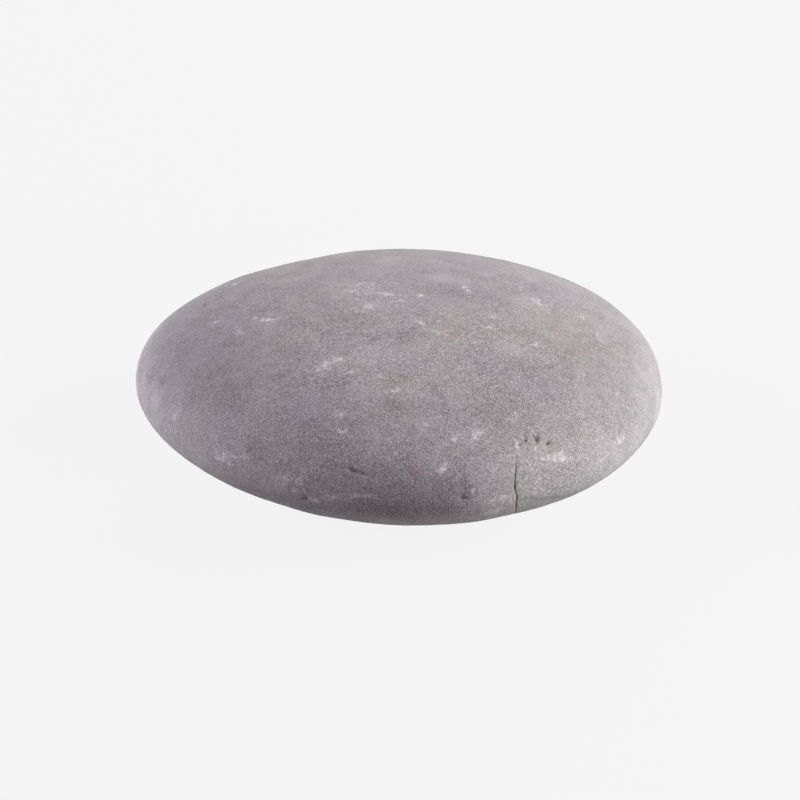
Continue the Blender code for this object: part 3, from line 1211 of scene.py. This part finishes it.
    def cracked(self, marks: dict[Mark, np.ndarray]) -> np.ndarray:
        """Open the crack.

        With q the share of the way from the crack's line to its edge, the depth goes as
        (1 - q^2)^2, and the lips are worn by lip_depth * exp(-(way from the edge / lip)^2).

        Args:
            marks: how much of each mark there is. The crack's dirt and its stain are added.

        Returns:
            How deep it is at each point.
        """
        crack = self.crack
        hair = 0.001 * MM
        away, width, depth = crack.reach(self.form, self.aims, self.smooth)
        for seed, (length, stray) in enumerate(crack.wavers, start=Seed.WAVERS):
            away = away + stray * ripples(self.smooth, length, seed)
        inside = np.clip(1.0 - (2.0 * np.abs(away) / np.maximum(width, hair)) ** 2, 0.0, None)
        from_edge = (np.abs(away) - width / 2.0) / crack.lip
        soiled = np.sqrt(np.clip(depth / crack.soiled_depth, 0.0, 1.0))
        marks[Mark.CRACK] = smooth_step(crack.soiled_from, crack.soiled_full, inside) * soiled
        stain = np.exp(-(((away - crack.stain_away) / crack.stain_reach) ** 2))
        low = smooth_step(0.0, crack.stain_fade, crack.stain_top - self.smooth[:, 2])
        marks[Mark.LIP] = stain * low * (depth > 0.0)
        worn = crack.lip_depth * np.exp(-(from_edge**2)) * (width > 0.0)
        return (1.0 - crack.silt) * depth * inside**2 + worn

    def lay_patches(self, marks: dict[Mark, np.ndarray]) -> None:
        """Add every patch to the marks, the strongest winning where two meet.

        Args:
            marks: how much of each mark there is.
        """
        ragged = {Mark.SCUFF: self.ragged_scuffs.factor(self.smooth)}
        for mark, strewn in self.wear.strew(self.form, self.wear.patches, Seed.PATCHES).items():
            for patch in (*map(Spot.from_row, PATCHES.get(mark, ())), *strewn):
                fade = patch.fade(self.form, self.smooth, ragged.get(mark, 1.0))
                marks[mark] = np.maximum(marks[mark], patch.amount * fade)

    def middle(self) -> np.ndarray:
        """Find the middle of the rim in the frame, from the solid's box and the form's own.

        Returns:
            Its place, with the two boxes' middles together and their tops level.
        """
        low, high = (np.array(corner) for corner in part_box(NODE))
        own_low, own_high = self.smooth.min(axis=0), self.smooth.max(axis=0)
        centre = (low + high) / 2.0 - (own_low + own_high) / 2.0
        return np.array([centre[0], centre[1], high[2] - own_high[2]])

    def stand(self, points: np.ndarray) -> np.ndarray:
        """Move the stone to its place and press its underside flat, softly rounded.

        The height above the table h becomes r log(1 + exp(h / r)), with r the rounding.

        Args:
            points: the worn surface, measured from the middle of the rim.

        Returns:
            The surface in the frame.
        """
        placed = points + self.middle()
        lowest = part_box(NODE)[0][2]
        over = (placed[:, 2] - lowest) / self.flat_rounding
        placed[:, 2] = lowest + self.flat_rounding * np.logaddexp(0.0, over)
        return placed

    def mesh_object(self, points: np.ndarray, marks: dict[Mark, np.ndarray]) -> bpy.types.Object:
        """Put the stone into the scene.

        Args:
            points: its surface in the frame, one row for each of the grid's points.
            marks: how much of each mark there is.

        Returns:
            Its object, whose mesh carries each mark as an attribute.
        """
        mesh = bpy.data.meshes.new("worn_pebble")
        mesh.from_pydata(points.tolist(), [], self.corners.tolist())
        mesh.validate()
        for mark, values in marks.items():
            attribute = mesh.attributes.new(mark.value, "FLOAT", "POINT")
            attribute.data.foreach_set("value", values.astype(np.float32))
        mesh.shade_smooth()
        return add_object("worn_pebble", mesh)


# --- Table, light and camera ---------------------------------------------------------------


@dataclass(frozen=True)
class SoftLight:
    """A square soft box that looks at the stone.

    Attributes:
        name: what it is called.
        turn: where it stands, in degrees about Z from +X.
        rise: its height above the table, in degrees. Below 0 it shines up through it.
        watts: its power.
        away: its distance from the stone, in metres.
        side: the length of its side, in metres.
    """

    name: str
    turn: float
    rise: float
    watts: float
    away: float = 1.0
    side: float = 0.5

    def build(self) -> None:
        """Add the light to the scene."""
        data = bpy.data.lights.new(self.name, "AREA")
        data.shape = "SQUARE"
        data.size = self.side
        data.energy = self.watts
        light = add_object(self.name, data)
        turn, rise = math.radians(self.turn), math.radians(self.rise)
        level = math.cos(rise)
        aim = Vector((math.cos(turn) * level, math.sin(turn) * level, math.sin(rise)))
        light.location = aim * self.away
        light.rotation_euler = aim.to_track_quat("Z", "Y").to_euler()
        light.visible_camera = False


@dataclass(frozen=True)
class MilkAcrylic:
    """Milky acrylic sheet, cast and frosted, and lit from within.

    It gives the eye an even white glow, with no gloss.

    Attributes:
        albedo: how much light it sends back.
        glow: how bright it glows.
    """

    albedo: float = 0.03
    glow: float = 0.871

    def build(self) -> bpy.types.Material:
        """Make the material.

        Returns:
            The material.
        """
        material = bpy.data.materials.new("milk_acrylic")
        material.use_nodes = True
        shader = material.node_tree.nodes["Principled BSDF"]
        for socket, value in {
            "Base Color": (self.albedo, self.albedo, self.albedo, 1.0),
            "Roughness": 1.0,
            "Specular IOR Level": 0.0,
            "Emission Color": (1.0, 1.0, 1.0, 1.0),
            "Emission Strength": self.glow,
        }.items():
            shader.inputs[socket].default_value = value
        return material


@dataclass(frozen=True)
class Studio:
    """A pale light table that curves up into a cove, soft boxes and the camera.

    Attributes:
        table_radius: how far the level part of the table reaches, in metres.
        cove_radius: how far the rim of the cove is from the middle.
        cove_height: how high the rim is.
        cove_steps: how many rings the cove has above the level part.
        table_sides: how many sides its outline has, enough to look round.
        table_finish: what the table is made of.
        room_light: how bright the room is all round.
        lens: the camera's focal length, in millimetres.
        sensor: the width of its sensor, in millimetres.
        camera_rise: how far above the table it looks down from, in radians.
        camera_away: its distance from what it looks at, in metres.
        camera_range: the nearest and the farthest that it sees, in metres.
        look_at: what it looks at, from the middle of the stone's rim.
        lights: the soft boxes.
    """

    table_radius: float = 1.6
    cove_radius: float = 2.4
    cove_height: float = 2.4
    cove_steps: int = 12
    table_sides: int = 96
    table_finish: MilkAcrylic = MilkAcrylic()
    room_light: float = 0.02
    lens: float = 85.0
    sensor: float = 36.0
    camera_rise: float = math.radians(31.0)
    camera_away: float = 335.4 * MM
    camera_range: tuple[float, float] = (0.01, 20.0)
    look_at: Point = (-0.65 * MM, 0.0, -4.10 * MM)
    lights: tuple[SoftLight, ...] = (
        SoftLight("right_box", 0.0, 25.0, 16.8),
        SoftLight("left_box", 180.0, 25.0, 8.1),
        SoftLight("back_box", 90.0, 25.0, 6.6),
        SoftLight("front_right_box", 315.0, 25.0, 6.2),
        SoftLight("table_light_right", 0.0, -35.0, 10.6),
        SoftLight("table_light_left", 180.0, -12.0, 8.9),
        SoftLight("table_light_back_left", 135.0, -12.0, 5.0),
    )

    def build(self, rim_middle: np.ndarray) -> None:
        """Set up the table, the lights and the camera.

        Args:
            rim_middle: where the middle of the stone's rim is.
        """
        self.build_table()
        self.build_room()
        for light in self.lights:
            light.build()
        self.build_camera(rim_middle)
        bpy.context.scene.view_settings.view_transform = "Standard"

    def build_table(self) -> None:
        """A round, milky table top, lit from within, that curves up like a bowl at its rim.

        The radius runs out to the table's, and then the wall follows a quarter of an
        ellipse up to the cove's radius and height. Only the camera sees the table, so
        that the light from the boxes under it reaches the stone.
        """
        bend = np.linspace(0.0, math.pi / 2.0, self.cove_steps + 1)
        reach = self.table_radius + (self.cove_radius - self.table_radius) * np.sin(bend)
        rise = self.cove_height * (1.0 - np.cos(bend))
        turn = np.linspace(0.0, 2.0 * math.pi, self.table_sides + 1)[:-1]
        level = np.outer(reach, np.cos(turn)), np.outer(reach, np.sin(turn))
        rings = np.stack([*level, np.broadcast_to(rise[:, None], level[0].shape)], axis=-1)
        number = np.arange(rings[..., 0].size).reshape(rings.shape[:2])
        inner, outer = number[:-1], number[1:]
        wall = np.stack([inner, outer, np.roll(outer, -1, 1), np.roll(inner, -1, 1)], axis=-1)
        faces = [number[0].tolist(), *wall.reshape(-1, 4).tolist()]
        mesh = bpy.data.meshes.new("table")
        mesh.from_pydata(rings.reshape(-1, 3).tolist(), [], faces)
        table = add_object("table", mesh)
        for ray in ("visible_diffuse", "visible_glossy", "visible_transmission", "visible_shadow"):
            setattr(table, ray, False)
        mesh.materials.append(self.table_finish.build())

    def build_room(self) -> None:
        """A trace of even, pale light from all round."""
        world = bpy.data.worlds.new("pale_room")
        bpy.context.scene.world = world
        world.use_nodes = True
        background = world.node_tree.nodes["Background"]
        background.inputs["Color"].default_value = (1.0, 1.0, 1.0, 1.0)
        background.inputs["Strength"].default_value = self.room_light

    def build_camera(self, rim_middle: np.ndarray) -> None:
        """Place the camera in front of the stone, looking down at it.

        Args:
            rim_middle: where the middle of the stone's rim is.
        """
        data = bpy.data.cameras.new("camera")
        data.lens = self.lens
        data.sensor_width = self.sensor
        data.clip_start, data.clip_end = self.camera_range
        camera = add_object("camera", data)
        back = Vector((0.0, -math.cos(self.camera_rise), math.sin(self.camera_rise)))
        target = Vector(rim_middle) + Vector(self.look_at)
        camera.location = target + back * self.camera_away
        camera.rotation_euler = back.to_track_quat("Z", "Y").to_euler()
        bpy.context.scene.camera = camera


def main() -> None:
    """Build the stone and the studio, in order, and say so."""
    logging.basicConfig(level=logging.INFO, format="%(name)s: %(message)s")

    pebble = Pebble()
    stone = pebble.build()
    log.info("stone: %d faces", len(stone.data.polygons))

    Studio().build(pebble.middle())
    log.info("studio: table, lights and camera")


if __name__ == "__main__":
    main()
